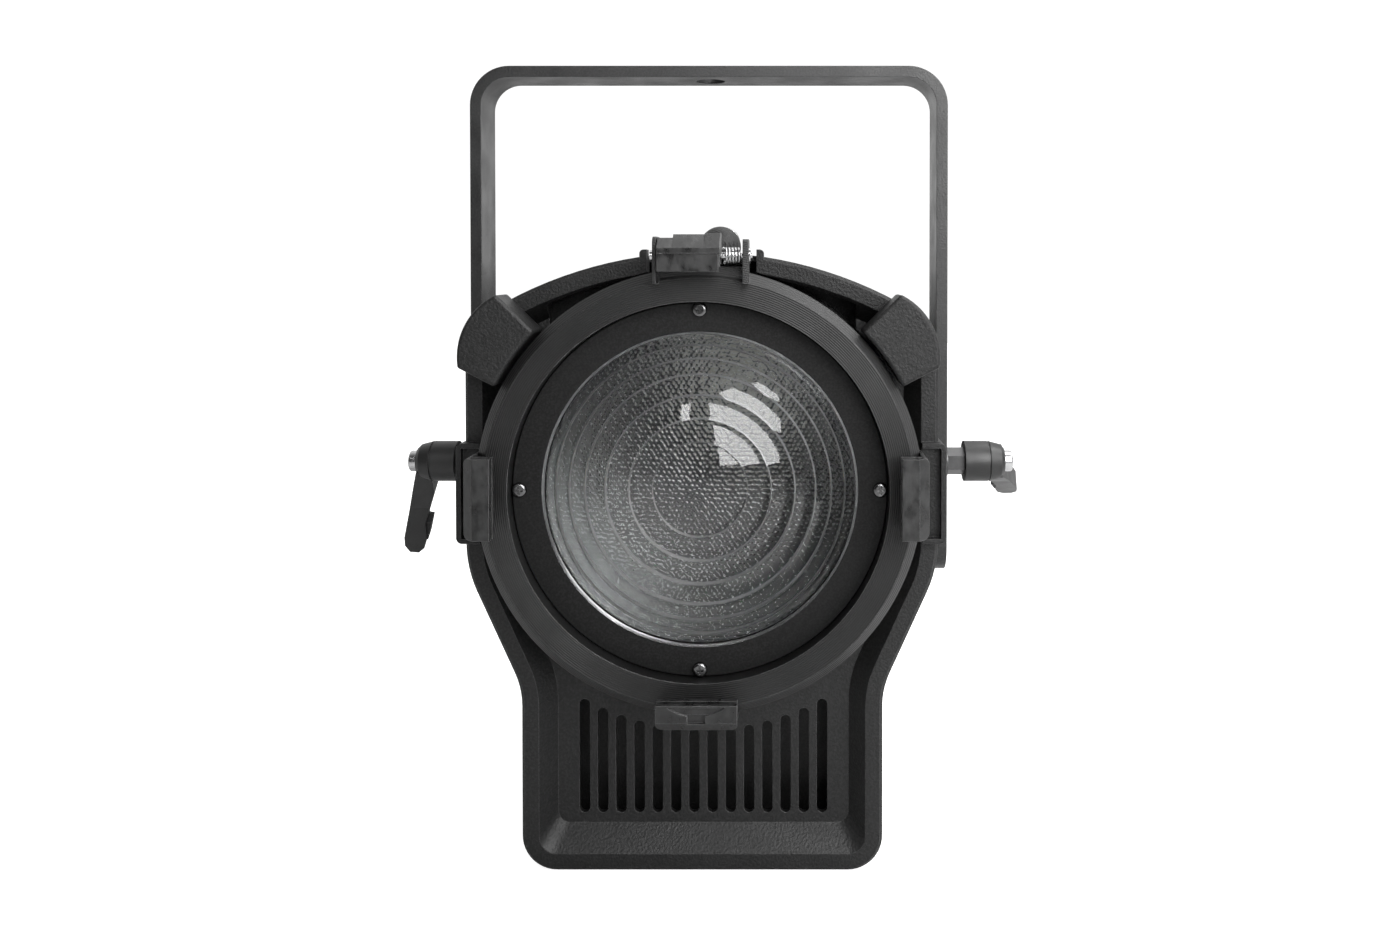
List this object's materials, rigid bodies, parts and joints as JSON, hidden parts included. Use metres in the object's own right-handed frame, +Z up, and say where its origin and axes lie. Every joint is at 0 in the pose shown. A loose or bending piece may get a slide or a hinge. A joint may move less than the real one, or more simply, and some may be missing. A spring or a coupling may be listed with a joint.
{
  "type": "fresnel spotlight",
  "caption": "Theatre fresnel spotlight: cast body on a flat base, stepped lens in a ring with accessory holders, bent-bar yoke on clamping levers.",
  "frame": {"origin": "on the flat base, straight below the tilt axis, in the middle of the width", "axes": "+Z up, the lens looks along -Y, +X is to the right seen from in front of the lens; the tilt axis runs along X at z 0.191 m"},
  "size_m": [0.36, 0.289, 0.4055],
  "materials": {
    "cast_black": "fine textured powder coat",
    "sheet_black": "textured powder coat on sheet metal",
    "ring_black": "satin black on turned aluminium",
    "bezel_black": "matte black",
    "holder_black": "handled semi-gloss black on steel",
    "yoke_black": "semi-matte black powder coat on steel bar",
    "lens_glass": "clear pressed borosilicate",
    "black_screw": "black zinc",
    "bright_steel": "bright plated steel",
    "dark_steel": "blackened steel",
    "lever_black": "moulded glass-filled black plastic",
    "knob_black": "moulded black plastic",
    "gasket_rubber": "silicone rubber",
    "washer_fibre": "friction fibre",
    "brass": "turned",
    "bare_aluminium": "mill finish",
    "rod_steel": "ground",
    "board_green": "solder mask",
    "led_board": "white board with amber emitter",
    "reflector_silver": "polished",
    "fan_black": "moulded",
    "panel_black": "fine texture",
    "display_glass": "smoked window",
    "button_grey": "moulded",
    "socket_black": "moulded",
    "supply_steel": "zinc-plated sheet"
  },
  "bodies": {
    "housing": {"front_housing": "cast_black", "main_housing": "sheet_black", "rear_cover": "cast_black", "housing_screws": "black_screw", "right_shoulder_block": "cast_black", "left_shoulder_block": "cast_black", "lens_ring": "ring_black", "bezel": "bezel_black", "bezel_screws": "black_screw", "fresnel_lens": "lens_glass", "lens_gasket": "gasket_rubber", "lens_barrel": "ring_black", "right_holder": "holder_black", "left_holder": "holder_black", "bottom_holder": "holder_black", "holder_screws": "black_screw", "hinge_pin": "bright_steel", "pin_clip": "bright_steel", "latch_spring": "bright_steel", "pivot_inserts": "brass", "front_bulkhead": "sheet_black", "rear_bulkhead": "sheet_black", "guide_rods": "rod_steel", "power_supply": "supply_steel", "safety_eye": "bright_steel", "rear_panel": "panel_black", "panel_screws": "black_screw", "display_window": "display_glass", "power_inlet": "socket_black", "power_outlet": "socket_black", "data_input": "socket_black", "data_output": "socket_black", "fuse_holder": "socket_black", "control_board": "board_green"},
    "yoke": {"yoke": "yoke_black", "friction_washers": "washer_fibre"},
    "left_clamp": {"left_clamp_stud": "dark_steel", "left_lever_screw": "bright_steel", "left_lever_spring": "bright_steel"},
    "right_clamp": {"right_clamp_stud": "dark_steel", "right_lever_screw": "bright_steel", "right_lever_spring": "bright_steel"},
    "left_handle": {"left_lever": "lever_black", "left_lever_insert": "gasket_rubber"},
    "right_handle": {"right_lever": "lever_black", "right_lever_insert": "gasket_rubber"},
    "latch": {"latch": "holder_black"},
    "carriage": {"carriage_plate": "bare_aluminium", "slide_bushes": "brass", "heat_sink": "bare_aluminium", "led_module": "led_board", "reflector": "reflector_silver", "fan_frame": "fan_black"},
    "fan": {"fan_rotor": "fan_black"},
    "zoom_knob": {"zoom_knob": "knob_black", "zoom_stem": "dark_steel"},
    "menu_button": {"menu_button": "button_grey"},
    "up_button": {"up_button": "button_grey"},
    "down_button": {"down_button": "button_grey"},
    "enter_button": {"enter_button": "button_grey"}
  },
  "joints": [
    {"name": "yoke_tilt", "type": "hinge", "parent": "housing", "child": "yoke", "pos_m": [0, 0, 0.191], "axis": [1, 0, 0], "range_deg": [-100, 180]},
    {"name": "left_clamp_turn", "type": "hinge", "parent": "housing", "child": "left_clamp", "pos_m": [-0.12, 0, 0.191], "axis": [1, 0, 0], "range_deg": [-180, 180]},
    {"name": "right_clamp_turn", "type": "hinge", "parent": "housing", "child": "right_clamp", "pos_m": [0.12, 0, 0.191], "axis": [1, 0, 0], "range_deg": [-180, 180]},
    {"name": "left_handle_pull", "type": "slide", "parent": "left_clamp", "child": "left_handle", "axis": [-1, 0, 0], "range_m": [0, 0.005], "stiffness_N_per_m": 600, "springref_m": -0.003, "deforming": ["left_lever_spring"]},
    {"name": "right_handle_pull", "type": "slide", "parent": "right_clamp", "child": "right_handle", "axis": [1, 0, 0], "range_m": [0, 0.005], "stiffness_N_per_m": 600, "springref_m": -0.003, "deforming": ["right_lever_spring"]},
    {"name": "latch_flip", "type": "hinge", "parent": "housing", "child": "latch", "pos_m": [0, -0.097, 0.303], "axis": [-1, 0, 0], "range_deg": [0, 90], "stiffness_Nm_per_rad": 0.03, "springref_deg": -57.3},
    {"name": "zoom_slide", "type": "slide", "parent": "housing", "child": "carriage", "axis": [0, -1, 0], "range_m": [0, 0.05]},
    {"name": "fan_spin", "type": "hinge", "parent": "carriage", "child": "fan", "pos_m": [0, 0.114, 0.191], "axis": [0, 1, 0], "continuous": true},
    {"name": "zoom_knob_turn", "type": "hinge", "parent": "carriage", "child": "zoom_knob", "pos_m": [0, 0.094, 0.301], "axis": [0, 0, 1], "range_deg": [-180, 180]},
    {"name": "menu_press", "type": "slide", "parent": "housing", "child": "menu_button", "axis": [0, -1, 0], "range_m": [0, 0.0012], "stiffness_N_per_m": 400, "springref_m": -0.001},
    {"name": "up_press", "type": "slide", "parent": "housing", "child": "up_button", "axis": [0, -1, 0], "range_m": [0, 0.0012], "stiffness_N_per_m": 400, "springref_m": -0.001},
    {"name": "down_press", "type": "slide", "parent": "housing", "child": "down_button", "axis": [0, -1, 0], "range_m": [0, 0.0012], "stiffness_N_per_m": 400, "springref_m": -0.001},
    {"name": "enter_press", "type": "slide", "parent": "housing", "child": "enter_button", "axis": [0, -1, 0], "range_m": [0, 0.0012], "stiffness_N_per_m": 400, "springref_m": -0.001}
  ]
}
